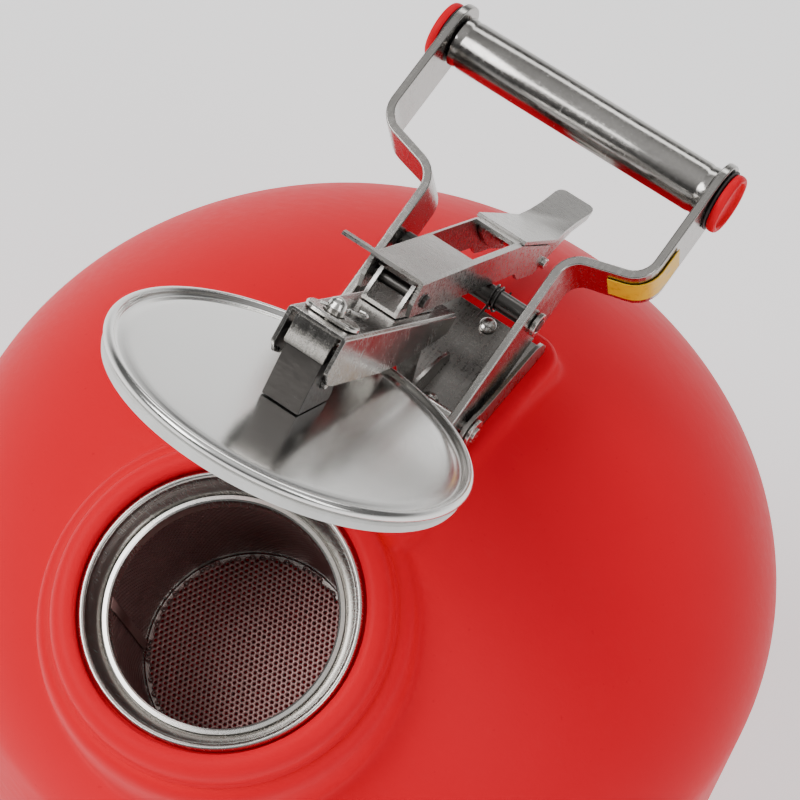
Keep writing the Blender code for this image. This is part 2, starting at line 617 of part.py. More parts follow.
def strip_section(station, side, low, top, near, far):
    """Four corners of a strip across its width, between two offsets from its centre sheet."""
    s, x, turn = station
    corners = []
    for offset, across in ((near, low), (far, low), (far, top), (near, top)):
        along = s - math.sin(turn) * offset
        y, z = bail_centre(along)
        angle = bail_angle(along)
        corners.append(point(side * (x + math.cos(turn) * offset), y - across * math.sin(angle),
                             z + across * math.cos(angle)))
    return corners


def build_bail_arm(tag, side):
    """One cranked strip, from its nose round the pivot to the round grip eye."""
    upper = [(-2.74, 10.2), (-2.3, 11.2), (-1.2, 12.1), (0.6, 12.5), (200.0, 12.5)]
    lower = [(-2.74, 9.4), (-1.79, 4.54), (-1.2, 1.9), (-0.53, -0.55), (-0.09, -2.22), (0.28, -4.01),
             (1.01, -5.63), (1.91, -6.62), (3.41, -7.58), (7.15, -9.01), (15.27, -11.86),
             (17.3, -12.5), (200.0, -12.5)]
    fronts = sorted(set([s for s, v in upper[:-1]] + [s for s, v in lower[:-1]] + [40.0]))
    backs = [EYE_AT] + [EYE_AT + BAIL_HALF * math.sin(math.radians(a)) for a in (20, 38, 54, 68, 79, 86)]
    sections = []
    for station in bail_route(fronts, backs, 6):
        s = station[0]
        half = BAIL_HALF
        if s > EYE_AT:
            half = math.sqrt(BAIL_HALF ** 2 - (s - EYE_AT) ** 2)
        top = min(table(upper, s), half)
        low = max(table(lower, s), -half)
        sections.append(strip_section(station, side, low, top, -STRIP / 2.0, STRIP / 2.0))
    arm = loft("bail_arm_" + tag, sections, (STEEL, 0.3, 1.0), PIVOT_AT)
    span = sorted((side * 20.0, side * 33.0))
    drill(arm, "arm_pivot_form_" + tag, (PIVOT_Y, PIVOT_Z), span[0], span[1], PIVOT_R + RUN)
    drill(arm, "arm_shaft_form_" + tag, SHAFT, span[0], span[1], 2.4 + RUN)
    span = sorted((side * 48.0, side * 60.0))
    drill(arm, "arm_eye_form_" + tag, GRIP, span[0], span[1], 4.0 + RUN)


def build_label():
    """Blank label film that follows the outer face of the right strip."""
    backs = [BAIL_BEND_AT + d for d in (14.0, 17.0, 20.0)]
    route = bail_route([], backs, 6)[6:]
    route[0] = tuple(a + (b - a) * 0.55 for a, b in zip(route[0], route[1]))
    near = STRIP / 2.0 + 0.32
    sections = [strip_section(station, 1.0, -7.6, 7.0, near, near + 0.4) for station in route]
    loft("label_plate", sections, ((0.85, 0.62, 0.05), 0.5, 0.0), PIVOT_AT)


def build_bail():
    """Bail arms, the cross shaft with its roller and spring, and the grip."""
    build_bail_arm("left", -1.0)
    build_bail_arm("right", 1.0)
    build_label()
    dark = (DARK, 0.35, 1.0)
    rod("cross_shaft", SHAFT, -30.9, 30.9, 2.4, dark, PIVOT_AT, 18)
    sleeve("shaft_roller", SHAFT, -24.8, 24.8, 2.4 + RUN, 3.5, dark, PIVOT_AT, 20)
    rod("grip_rod", GRIP, -56.0, 56.0, 4.0, dark, PIVOT_AT, 18)
    sleeve("grip_tube", GRIP, -51.4, 51.4, 7.9, GRIP_R, (STEEL, 0.3, 1.0), PIVOT_AT, 32)
    for tag, side in (("left", -1.0), ("right", 1.0)):
        x0, x1 = sorted((side * 28.9, side * 30.6))
        sleeve("shaft_nut_" + tag, SHAFT, x0, x1, 2.4 + RUN, 4.2, (STEEL, 0.3, 1.0), PIVOT_AT, 18)
        x0, x1 = sorted((side * 55.35, side * 56.15))
        sleeve("grip_washer_" + tag, GRIP, x0, x1, 4.0 + RUN, 11.3, (DARK, 0.6, 0.0), PIVOT_AT, 28)
        cap = [(0.0, 56.5), (10.6, 56.5), (10.9, 57.4), (10.6, 59.2), (9.8, 59.7), (8.9, 59.5),
               (8.5, 58.0), (0.0, 58.0)]
        frame = Matrix.Translation(point(0.0, GRIP[0], GRIP[1]))
        frame = frame @ Matrix.Rotation(math.radians(90.0 * side), 4, "Y")
        turned("grip_cap_" + tag, cap, frame, (RED, 0.4, 0.0), PIVOT_AT, 28, closed=False)
    path = [point(11.0, SHAFT[0] - 7.0, SHAFT[1] - 4.5)]
    turns = 2
    for k in range(turns * 12 + 1):
        angle = 2.0 * math.pi * k / 12.0 - math.pi / 2.0
        x = 11.0 + 3.4 * k / (turns * 12.0)
        path.append(point(x, SHAFT[0] + 4.4 * math.cos(angle), SHAFT[1] + 4.4 * math.sin(angle)))
    path.append(point(14.4, SHAFT[0] + 8.0, SHAFT[1] - 4.6))
    wire("torsion_spring", path, 0.45, 6, dark, PIVOT_AT)


build_can()
build_neck()
build_bracket()
build_rivets()
build_pivot()
build_arm()
build_lid()
build_lever()
build_bail()
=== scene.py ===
"""Looks of the wide mouth safety can: fine surfaces and procedural materials over its frame."""
import json
import math

import bmesh
import bpy
from mathutils import Matrix, Vector


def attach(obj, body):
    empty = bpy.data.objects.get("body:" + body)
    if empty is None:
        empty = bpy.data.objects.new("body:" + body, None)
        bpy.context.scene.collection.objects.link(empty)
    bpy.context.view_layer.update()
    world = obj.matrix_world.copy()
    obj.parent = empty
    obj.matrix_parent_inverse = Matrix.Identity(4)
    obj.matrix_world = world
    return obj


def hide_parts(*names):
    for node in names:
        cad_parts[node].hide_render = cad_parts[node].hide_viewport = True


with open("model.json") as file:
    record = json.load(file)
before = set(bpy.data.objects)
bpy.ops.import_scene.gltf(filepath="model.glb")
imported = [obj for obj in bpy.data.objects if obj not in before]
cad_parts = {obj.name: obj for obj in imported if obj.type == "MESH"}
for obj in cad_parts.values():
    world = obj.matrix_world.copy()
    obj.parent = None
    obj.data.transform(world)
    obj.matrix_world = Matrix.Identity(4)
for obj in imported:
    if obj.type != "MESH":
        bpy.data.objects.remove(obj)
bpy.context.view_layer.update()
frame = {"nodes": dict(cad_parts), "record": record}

NODES = frame["nodes"]
BODY_OF = {node: body for body, nodes in frame["record"]["behaviour"]["bodies"].items() for node in nodes}

MM = 0.001
WALL_H = 211.0
BODY_R = 152.5
BASE_R = 148.0
DOME_H = 104.5
DOME_POWER = 1.7
PAD_Z = 101.0
PAD_HALF_X = 36.0
PAD_Y = (-46.0, 54.0)
PAD_CORNER = 10.0
BASE_ROUND = 22.0
FINE_VOXEL = 0.0015
BASKET_R = 38.4
HOLE_PITCH = 2.0
SHEET_T = 0.0004
LID_R = 61.6
CURL_R = 1.7
GRIP = (107.4, 147.7)


def point(x, y, z):
    """A point in metres; heights are measured from the shoulder line."""
    return Vector((x, y, z + WALL_H)) * MM


def axis_frame(y, z, tilt_deg):
    """Frame with local z leaning by tilt_deg towards +Y."""
    return Matrix.Translation(point(0.0, y, z)) @ Matrix.Rotation(math.radians(-tilt_deg), 4, "X")


MOUTH = axis_frame(-91.3, 80.0, -19.1)
LID = axis_frame(-65.7, 180.7, 36.1)
ACROSS = Matrix.Rotation(math.radians(90.0), 4, "Y")


# ---------------------------------------------------------------- materials

class Nodes:
    """A small helper that adds and links shader nodes."""

    def __init__(self, name):
        self.material = bpy.data.materials.new(name)
        self.material.use_nodes = True
        self.tree = self.material.node_tree
        self.shader = self.tree.nodes["Principled BSDF"]
        self.coords = self.tree.nodes.new("ShaderNodeTexCoord").outputs["Object"]

    def add(self, kind, **values):
        node = self.tree.nodes.new(kind)
        for key, value in values.items():
            setattr(node, key, value)
        return node

    def link(self, source, target):
        self.tree.links.new(source, target)

    def stretched(self, scale, turn=(0.0, 0.0, 0.0)):
        node = self.add("ShaderNodeMapping")
        node.inputs["Scale"].default_value = scale
        node.inputs["Rotation"].default_value = turn
        self.link(self.coords, node.inputs["Vector"])
        return node.outputs["Vector"]

    def noise(self, vector, scale, detail=4.0, rough=0.55):
        node = self.add("ShaderNodeTexNoise")
        node.inputs["Scale"].default_value = scale
        node.inputs["Detail"].default_value = detail
        node.inputs["Roughness"].default_value = rough
        self.link(vector, node.inputs["Vector"])
        return node.outputs["Fac"]

    def ramp(self, value, stops):
        node = self.add("ShaderNodeValToRGB")
        while len(node.color_ramp.elements) < len(stops):
            node.color_ramp.elements.new(0.5)
        for element, (place, colour) in zip(node.color_ramp.elements, stops):
            element.position = place
            element.color = (colour[0], colour[1], colour[2], 1.0)
        self.link(value, node.inputs["Fac"])
        return node.outputs["Color"]

    def spread(self, value, low, high, from_low=0.3, from_high=0.7):
        node = self.add("ShaderNodeMapRange")
        node.inputs["From Min"].default_value = from_low
        node.inputs["From Max"].default_value = from_high
        node.inputs["To Min"].default_value = low
        node.inputs["To Max"].default_value = high
        self.link(value, node.inputs["Value"])
        return node.outputs["Result"]

    def math(self, operation, first, second):
        node = self.add("ShaderNodeMath", operation=operation)
        for slot, value in zip(node.inputs, (first, second)):
            if isinstance(value, float):
                slot.default_value = value
            else:
                self.link(value, slot)
        return node.outputs["Value"]

    def mix(self, factor, first, second):
        node = self.add("ShaderNodeMix", data_type="RGBA")
        self.link(factor, node.inputs["Factor"])
        for slot, value in ((node.inputs[6], first), (node.inputs[7], second)):
            if isinstance(value, tuple):
                slot.default_value = (value[0], value[1], value[2], 1.0)
            else:
                self.link(value, slot)
        return node.outputs[2]

    def bump(self, height, distance, strength=1.0, before=None):
        node = self.add("ShaderNodeBump")
        node.inputs["Distance"].default_value = distance
        node.inputs["Strength"].default_value = strength
        self.link(height, node.inputs["Height"])
        if before is not None:
            self.link(before, node.inputs["Normal"])
        return node.outputs["Normal"]

    def done(self, colour, rough, normal, metal=0.0):
        self.shader.inputs["Metallic"].default_value = metal
        self.link(colour, self.shader.inputs["Base Color"])
        self.link(rough, self.shader.inputs["Roughness"])
        self.link(normal, self.shader.inputs["Normal"])
        return self.material


def plastic(name, base, deep, rough, grain=1.0, streak=1.0):
    """Moulded plastic: soft colour drift, a fine cast texture and faint rubbed streaks."""
    n = Nodes(name)
    cloud = n.noise(n.coords, 9.0, 3.0)
    colour = n.ramp(cloud, [(0.25, deep), (0.75, base)])
    rubs = n.noise(n.stretched((6.0, 60.0, 60.0), (0.0, 0.0, 0.5)), 6.0, 5.0)
    mask = n.spread(rubs, 0.0, 0.16 * streak, 0.56, 0.78)
    colour = n.mix(mask, colour, (base[0], base[1] + 0.03, base[2] + 0.025))
    specks = n.noise(n.coords, 420.0, 2.0)
    colour = n.mix(n.spread(specks, 0.0, 0.25, 0.70, 0.80), colour, tuple(c * 0.72 for c in deep))
    sheen = n.math("ADD", n.spread(cloud, rough - 0.04, rough + 0.05), n.spread(rubs, -0.02, 0.06))
    cast = n.noise(n.coords, 900.0, 3.0)
    soft = n.noise(n.coords, 60.0, 2.0)
    normal = n.bump(soft, 0.0004 * grain, 0.30)
    normal = n.bump(cast, 0.00008 * grain, 0.55, normal)
    n.shader.inputs["Specular IOR Level"].default_value = 0.08
    return n.done(colour, sheen, normal)


def steel(name, base, rough, lines=(1.0, 1.0, 1.0), depth=1.0, stain=0.25, tint=(0.40, 0.37, 0.33)):
    """Rolled stainless sheet: fine drawn lines, cloudy polish, scuffs and darker stains; on the basket mesh
    the reddish stain tint is partly a painted reflection of the red body.
    """
    n = Nodes(name)
    drawn = n.noise(n.stretched(lines), 900.0, 5.0, 0.6)
    cloud = n.noise(n.coords, 34.0, 4.0)
    scuff = n.noise(n.stretched((1.0, 4.0, 1.0), (0.4, 0.7, 0.2)), 320.0, 6.0, 0.7)
    darker = tuple(c * 0.94 for c in base)
    lighter = tuple(min(1.0, c * 1.04) for c in base)
    colour = n.ramp(drawn, [(0.3, darker), (0.7, lighter)])
    colour = n.mix(n.spread(cloud, 0.0, stain, 0.50, 0.72), colour, tint)
    sheen = n.math("ADD", n.spread(drawn, rough - 0.05, rough + 0.07),
                   n.spread(scuff, -0.03, 0.10, 0.4, 0.8))
    normal = n.bump(drawn, 0.000012 * depth, 0.5)
    normal = n.bump(scuff, 0.000006 * depth, 0.4, normal)
    return n.done(colour, sheen, normal, 1.0)


def spun_steel(name, base, rough, rings):
    """Polished steel with faint turned rings about its own axis."""
    n = Nodes(name)
    split = n.add("ShaderNodeSeparateXYZ")
    n.link(n.coords, split.inputs["Vector"])
    square = n.math("ADD", n.math("MULTIPLY", split.outputs["X"], split.outputs["X"]),
                    n.math("MULTIPLY", split.outputs["Y"], split.outputs["Y"]))
    radius = n.math("SQRT", square, 0.0)
    line = n.add("ShaderNodeCombineXYZ")
    n.link(radius, line.inputs["X"])
    turned = n.noise(line.outputs["Vector"], rings, 6.0, 0.7)
    cloud = n.noise(n.coords, 26.0, 4.0)
    scratch = n.noise(n.stretched((1.0, 14.0, 1.0), (0.0, 0.0, 0.9)), 160.0, 6.0, 0.7)
    colour = n.ramp(cloud, [(0.3, tuple(c * 0.93 for c in base)), (0.7, base)])
    sheen = n.math("ADD", n.spread(turned, rough - 0.03, rough + 0.04),
                   n.spread(scratch, 0.0, 0.07, 0.55, 0.8))
    sheen = n.math("ADD", sheen, n.spread(cloud, -0.02, 0.03))
    normal = n.bump(turned, 0.000012, 0.5)
    normal = n.bump(scratch, 0.00001, 0.4, normal)
    return n.done(colour, sheen, normal, 1.0)


def label_film(name):
    """Blank yellow film, lightly worn."""
    n = Nodes(name)
    wear = n.noise(n.coords, 260.0, 5.0)
    colour = n.ramp(wear, [(0.28, (0.55, 0.30, 0.0)), (0.42, (0.90, 0.50, 0.0)), (0.8, (0.96, 0.58, 0.005))])
    normal = n.bump(n.noise(n.coords, 700.0, 2.0), 0.00004, 0.5)
    return n.done(colour, n.spread(wear, 0.32, 0.5), normal)


def soft_rubber(name, pale, dark, rough):
    """Matt rubber with dusty patches."""
    n = Nodes(name)
    dust = n.noise(n.coords, 120.0, 5.0)
    colour = n.ramp(dust, [(0.3, dark), (0.7, pale)])
    normal = n.bump(n.noise(n.coords, 1100.0, 3.0), 0.00005, 0.5)
    return n.done(colour, n.spread(dust, rough - 0.05, rough + 0.08), normal)


RED = plastic("red_poly", (0.92, 0.002, 0.022), (0.85, 0.002, 0.018), 0.42)
RED_CAP = plastic("red_cap", (0.85, 0.004, 0.020), (0.75, 0.003, 0.016), 0.38, 0.7, 0.4)
STEEL_X = steel("steel_arm", (0.40, 0.385, 0.365), 0.22, (1.0, 0.12, 0.12), 1.0, 0.30, (0.24, 0.225, 0.205))
STEEL_LEVER = steel("steel_lever", (0.46, 0.445, 0.425), 0.27, (0.12, 1.0, 1.0), 1.0, 0.25,
                    (0.30, 0.28, 0.26))
STEEL_DARK = steel("steel_bracket", (0.36, 0.34, 0.32), 0.28, (1.0, 0.1, 0.1), 1.0, 0.35, (0.16, 0.15, 0.14))
STEEL_FOOT = steel("steel_foot", (0.045, 0.042, 0.04), 0.34, (0.2, 1.0, 1.0), 1.0, 0.3, (0.08, 0.075, 0.07))
STEEL_BOLT = steel("steel_fixing", (0.66, 0.64, 0.61), 0.22, (1.0, 1.0, 1.0), 0.7, 0.3)
STEEL_BLACK = steel("steel_black", (0.10, 0.095, 0.09), 0.30, (0.1, 1.0, 1.0), 1.0, 0.4, (0.04, 0.038, 0.036))
STEEL_GRIP = steel("steel_grip", (0.40, 0.385, 0.365), 0.18, (0.16, 1.0, 1.0), 1.6, 0.55, (0.22, 0.21, 0.20))
# Basket mesh: the reddish-brown base and the reddish stain tint are partly real staining and partly a painted
# reflection of the red body, with painted red light glowing through the can walls.
STEEL_MESH_STAIN_AND_RED_REFLECTION = steel("steel_mesh_stain_and_red_reflection", (0.30, 0.175, 0.165), 0.46, (1.0, 1.0, 1.0), 0.8, 0.5, (0.22, 0.10, 0.10))
LID_STEEL = spun_steel("lid_steel", (0.88, 0.87, 0.845), 0.18, 900.0)
RING_STEEL = spun_steel("ring_steel", (0.64, 0.62, 0.59), 0.24, 700.0)
SEAL = soft_rubber("seal_white", (0.88, 0.88, 0.86), (0.78, 0.77, 0.74), 0.5)
# Washer black: partly the washer's own colour and partly painted shade of the thin gap between each red cap
# and the bail arm's eye.
WASHER_BLACK_AND_GAP_SHADE = soft_rubber("washer_black", (0.035, 0.034, 0.033), (0.015, 0.015, 0.015), 0.5)
YELLOW = label_film("label_yellow")


# ---------------------------------------------------------------- mesh tools

def add_object(bm, name, material, body, nodes=(), place=None, angle=35.0):
    """Close a bmesh into an object that rides on a body and stands for CAD nodes."""
    bmesh.ops.remove_doubles(bm, verts=bm.verts, dist=0.000001)
    bmesh.ops.recalc_face_normals(bm, faces=bm.faces)
    mesh = bpy.data.meshes.new(name)
    bm.to_mesh(mesh)
    bm.free()
    mesh.materials.append(material)
    mesh.shade_smooth()
    mesh.set_sharp_from_angle(angle=math.radians(angle))
    obj = bpy.data.objects.new(name, mesh)
    bpy.context.scene.collection.objects.link(obj)
    if place is not None:
        obj.matrix_world = place
        bpy.context.view_layer.update()
    if body:
        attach(obj, body)
    if nodes:
        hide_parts(*nodes)
    return obj


def soften(obj, width, segments=2, angle=30.0):
    """Round the hard edges of a piece."""
    step = obj.modifiers.new("soft_edges", "BEVEL")
    step.width = width * MM
    step.segments = segments
    step.limit_method = "ANGLE"
    step.angle_limit = math.radians(angle)
    step.harden_normals = True
    return obj


def spin(profile, steps, closed=True):
    """Mesh of a (radius, height) profile turned about z."""
    bm = bmesh.new()
    verts = [bm.verts.new((r * MM, 0.0, h * MM)) for r, h in profile]
    edges = [bm.edges.new((a, b)) for a, b in zip(verts, verts[1:])]
    if closed:
        edges.append(bm.edges.new((verts[-1], verts[0])))
    bmesh.ops.spin(bm, geom=verts + edges, cent=(0.0, 0.0, 0.0), axis=(0.0, 0.0, 1.0),
                   angle=2.0 * math.pi, steps=steps, use_merge=True, use_duplicate=False)
    return bm


def smooth_row(points, per_span):
    """Catmull-Rom curve through points, sampled per_span times a span."""
    count = len(points)
    row = []
    for i in range(count - 1):
        p0, p1, p2, p3 = [points[max(0, min(count - 1, k))] for k in (i - 1, i, i + 1, i + 2)]
        for s in range(per_span):
            t = s / per_span
            row.append(tuple(0.5 * (2.0 * b + (c - a) * t + (2.0 * a - 5.0 * b + 4.0 * c - d) * t * t
                                    + (3.0 * b - a - 3.0 * c + d) * t ** 3)
                             for a, b, c, d in zip(p0, p1, p2, p3)))
    row.append(tuple(points[-1]))
    return row


def bridge(sections):
    """Mesh of a row of equal closed sections, capped at both ends."""
    bm = bmesh.new()
    rings = [[bm.verts.new(p) for p in section] for section in sections]
    count = len(rings[0])
    for first, second in zip(rings, rings[1:]):
        for i in range(count):
            j = (i + 1) % count
            bm.faces.new((first[i], first[j], second[j], second[i]))
    bm.faces.new(list(reversed(rings[0])))
    bm.faces.new(rings[-1])
    return bm


def refine(node, material, width, segments=2):
    """Fine copy of a folded or machined CAD node: flat faces rejoined and edges rounded."""
    bm = bmesh.new()
    bm.from_mesh(NODES[node].data)
    bmesh.ops.remove_doubles(bm, verts=bm.verts, dist=0.00001)
    bmesh.ops.dissolve_limit(bm, angle_limit=math.radians(2.0), verts=bm.verts, edges=bm.edges)
    obj = add_object(bm, node + "_fine", material, BODY_OF[node], (node,))
    return soften(obj, width, segments)


def fine_turned(name, profile, frame_at, material, node, steps=128, closed=True):
    """A fine turned piece that stands for one CAD node."""
    return add_object(spin(profile, steps, closed), name, material, BODY_OF[node], (node,), frame_at)


# ---------------------------------------------------------------- can

def dome_height(radius):
    """Height of the dome above the shoulder line at a radius."""
    share = min(1.0, max(0.0, radius / BODY_R))
    return DOME_H * (1.0 - share ** DOME_POWER) ** (1.0 / DOME_POWER)


def make_can():
    """Can skin: dome, pad and collar fused and softened, then bored for the neck."""
    rows = [(0.0, -WALL_H + 4.0), (108.0, -WALL_H + 4.0), (113.0, -WALL_H)]
    for k in range(9):
        angle = math.radians(-90.0 + 90.0 * k / 8.0)
        rows.append((BASE_R - BASE_ROUND + BASE_ROUND * math.cos(angle),
                     -WALL_H + BASE_ROUND + BASE_ROUND * math.sin(angle)))
    for k in range(49):
        radius = BODY_R * math.cos(math.pi / 2.0 * k / 48.0)
        rows.append((max(0.0, radius), min(PAD_Z - 0.3, dome_height(radius))))
    rows[-1] = (0.0, PAD_Z - 0.3)
    bm = spin(rows, 192, False)
    bmesh.ops.translate(bm, verts=bm.verts, vec=(0.0, 0.0, WALL_H * MM))
    collar = [(0.0, -55.0), (66.5, -55.0), (64.4, -12.0), (63.2, -4.0), (62.2, -1.0), (60.6, 0.6),
              (58.0, 0.9), (0.0, 0.9)]
    part = spin(collar, 160, False)
    bmesh.ops.transform(part, matrix=MOUTH, verts=part.verts)
    shape = bpy.data.meshes.new("collar_shape")
    part.to_mesh(shape)
    part.free()
    bm.from_mesh(shape)
    pad_rows = []
    for grow, height in ((3.5, 60.0), (2.5, 90.0), (1.0, PAD_Z - 1.6), (-0.4, PAD_Z)):
        ring = []
        half = PAD_HALF_X + grow
        y0 = PAD_Y[0]
        y1 = PAD_Y[1] + grow
        far = half - PAD_CORNER
        corners = ((far, y1 - PAD_CORNER, 0.0), (-far, y1 - PAD_CORNER, 90.0),
                   (-far, y0 + PAD_CORNER, 180.0), (far, y0 + PAD_CORNER, 270.0))
        for cx, cy, start in corners:
            for k in range(7):
                angle = math.radians(start + 15.0 * k)
                ring.append(point(cx + PAD_CORNER * math.cos(angle), cy + PAD_CORNER * math.sin(angle),
                                  height))
        pad_rows.append(ring)
    part = bridge(pad_rows)
    bmesh.ops.recalc_face_normals(part, faces=part.faces)
    shape = bpy.data.meshes.new("pad_shape")
    part.to_mesh(shape)
    part.free()
    bm.from_mesh(shape)
    can = add_object(bm, "can_skin", RED, "can", ("can_body",))
    remesh = can.modifiers.new("fuse", "REMESH")
    remesh.mode = "VOXEL"
    remesh.voxel_size = FINE_VOXEL
    remesh.use_smooth_shade = True
    relax = can.modifiers.new("relax", "SMOOTH")
    relax.factor = 0.5
    relax.iterations = 10
    bore_profile = [(0.0, -112.0), (52.0, -112.0), (52.0, -27.0), (49.5, -24.0), (49.5, 20.0), (0.0, 20.0)]
    bore = spin(bore_profile, 160, False)
    tool = add_object(bore, "neck_bore_shape", RED, "can", (), MOUTH)
    tool.hide_render = True
    tool.hide_viewport = False
    tool.display_type = "WIRE"
    cut = can.modifiers.new("bore", "BOOLEAN")
    cut.operation = "DIFFERENCE"
    cut.solver = "EXACT"
    cut.object = tool
    bpy.context.view_layer.objects.active = can
    bpy.context.view_layer.update()
    graph = bpy.context.evaluated_depsgraph_get()
    baked = bpy.data.meshes.new_from_object(can.evaluated_get(graph))
    can.modifiers.clear()
    can.data = baked
    baked.shade_smooth()
    bpy.data.objects.remove(tool)
    crest = [(58.0, 1.2), (57.2, 2.2), (56.9, 4.0), (56.5, 6.2), (55.4, 8.4), (53.6, 9.8), (51.4, 10.3),
             (49.6, 9.9), (48.4, 8.9), (48.0, 7.0)]
    lip = smooth_row(crest, 4) + [(48.0, -4.0), (58.6, -4.0)]
    fine_turned("collar_lip", lip, MOUTH, RED, "can_body", 160)
    seat = [(42.4, -24.0), (49.8, -24.0), (49.8, 4.0), (46.9, 4.2), (42.8, -2.9)]
    fine_turned("neck_seat", seat, MOUTH, RED, "can_body", 96)


def make_neck():
    """Rolled steel mouth ring and the perforated basket that hangs in it."""
    bead = [(41.0, 0.3), (42.6, 3.2), (44.2, 6.0), (44.8, 7.3), (45.6, 8.0), (46.5, 7.8), (47.1, 6.9),
            (46.9, 5.9), (46.1, 5.2), (44.0, 1.9), (42.3, -0.9)]
    sleeve = [(41.9, -2.5), (41.9, -22.0), (39.4, -22.0), (39.4, -1.6), (40.8, -1.5)]
    fine_turned("neck_ring_fine", smooth_row(bead, 4) + sleeve, MOUTH, RING_STEEL, "neck_ring", 192)
    rim = [(38.0, -6.0), (38.0, -0.6), (38.3, 0.1), (38.9, 0.45), (40.2, 0.3), (40.5, -0.3), (40.3, -1.1),
           (38.9, -1.1), (38.9, -6.0)]
    fine_turned("basket_rim", rim, MOUTH, RING_STEEL, "arrester_basket", 160)
    fold = [(38.1, -67.4), (38.1, -69.0), (37.6, -69.6), (36.0, -69.6), (36.0, -70.3), (38.0, -70.3),
            (38.8, -69.6), (38.8, -67.4)]
    fine_turned("basket_fold", fold, MOUTH, RING_STEEL, "arrester_basket", 160)
    make_seam()
    make_mesh_wall()
    make_mesh_floor()


def make_seam():
    """Overlap of the basket's rolled wall."""
    radius = 37.7 * MM
    bm = bmesh.new()
    angles = [math.radians(205.0 + 1.0 * k) for k in range(7)]
    low, high = [[bm.verts.new((radius * math.cos(a), radius * math.sin(a), h * MM)) for a in angles]
                 for h in (-67.0, -1.0)]
    for k in range(len(angles) - 1):
        bm.faces.new((low[k], low[k + 1], high[k + 1], high[k]))
    strip = add_object(bm, "basket_seam", STEEL_MESH_STAIN_AND_RED_REFLECTION, "basket", (), MOUTH)
    thick = strip.modifiers.new("sheet", "SOLIDIFY")
    thick.thickness = 0.0003


def thicken(sheet):
    """Give a perforated sheet its thickness, half to each side."""
    step = sheet.modifiers.new("sheet", "SOLIDIFY")
    step.thickness = SHEET_T
    step.offset = 0.0


def hex_sheet(cells, place, open_share=0.5):
    """Sheet of six-sided cells with a six-sided hole in each."""
    bm = bmesh.new()
    reach = HOLE_PITCH / math.sqrt(3.0)
    for u, v in cells:
        outer = []
        inner = []
        for k in range(6):
            angle = math.radians(30.0 + 60.0 * k)
            outer.append(bm.verts.new(place(u + reach * math.cos(angle), v + reach * math.sin(angle))))
            inner.append(bm.verts.new(place(u + reach * open_share * math.cos(angle),
                                            v + reach * open_share * math.sin(angle))))
        for k in range(6):
            j = (k + 1) % 6
            bm.faces.new((outer[k], outer[j], inner[j], inner[k]))
    return bm


def make_mesh_wall():
    """Perforated wall of the basket."""
    around = 120
    radius = around * HOLE_PITCH / (2.0 * math.pi)
    grow = BASKET_R / radius
    cells = []
    for row in range(36):
        for column in range(around):
            cells.append((column * HOLE_PITCH + (row % 2), -5.6 - row * math.sqrt(3.0)))

    def place(u, v):
        angle = u / radius
        return (radius * grow * MM * math.cos(angle), radius * grow * MM * math.sin(angle), v * MM)

    thicken(add_object(hex_sheet(cells, place), "basket_wall_mesh", STEEL_MESH_STAIN_AND_RED_REFLECTION, "basket",
                       ("arrester_basket",), MOUTH, 60.0))


def make_mesh_floor():
    """Perforated floor of the basket, slightly dished."""
    cells = []
    for row in range(-22, 23):
        for column in range(-20, 21):
            u = column * HOLE_PITCH + (row % 2)
            v = row * math.sqrt(3.0)
            if math.hypot(u, v) < 36.6:
                cells.append((u, v))

    def place(u, v):
        far = math.hypot(u, v) / 37.6
        return (u * MM, v * MM, (-68.4 - 0.9 * (1.0 - far * far)) * MM)

    thicken(add_object(hex_sheet(cells, place), "basket_floor_mesh", STEEL_MESH_STAIN_AND_RED_REFLECTION, "basket",
                       ("basket_floor",), MOUTH, 60.0))


def make_lid():
    """Polished lid with its rolled rim, seal and clamp plate."""
    rim = LID_R - CURL_R
    top = [(0.0, -0.2), (30.0, -0.22), (50.0, -0.28), (54.0, -0.4), (56.0, -0.75), (57.4, -0.85),
           (58.2, -0.35)]
    curl = []
    for k in range(15):
        angle = math.radians(150.0 - 215.0 * k / 14.0)
        curl.append((rim + CURL_R * math.cos(angle), -0.8 + CURL_R * math.sin(angle)))
    under = [(59.0, -2.3), (56.0, -2.2), (53.0, -2.2), (50.0, -1.5), (0.0, -1.5)]
    profile = smooth_row(top, 4) + curl + under
    fine_turned("lid_disc_fine", profile, LID, LID_STEEL, "lid_disc", 256, False)
    seal = [(12.0, -1.9), (49.6, -1.9), (53.0, -2.6), (56.8, -2.6), (58.4, -3.3), (59.7, -3.5), (60.3, -4.2),
            (60.4, -5.6), (60.0, -6.6), (59.0, -6.9), (58.0, -6.5), (57.3, -5.3), (56.6, -4.1), (50.0, -4.0),
            (47.2, -4.1), (46.5, -4.8), (46.2, -6.2), (45.4, -6.6), (12.0, -6.6)]
    fine_turned("lid_gasket_fine", seal, LID, SEAL, "lid_gasket", 192)
    clamp = [(0.0, -7.0), (36.5, -7.0), (37.8, -7.3), (38.0, -7.8), (37.6, -8.6), (30.0, -8.6),
             (28.0, -7.9), (14.0, -7.9), (12.0, -8.6), (0.0, -8.6)]
    fine_turned("gasket_plate_fine", clamp, LID, RING_STEEL, "gasket_plate", 128, False)


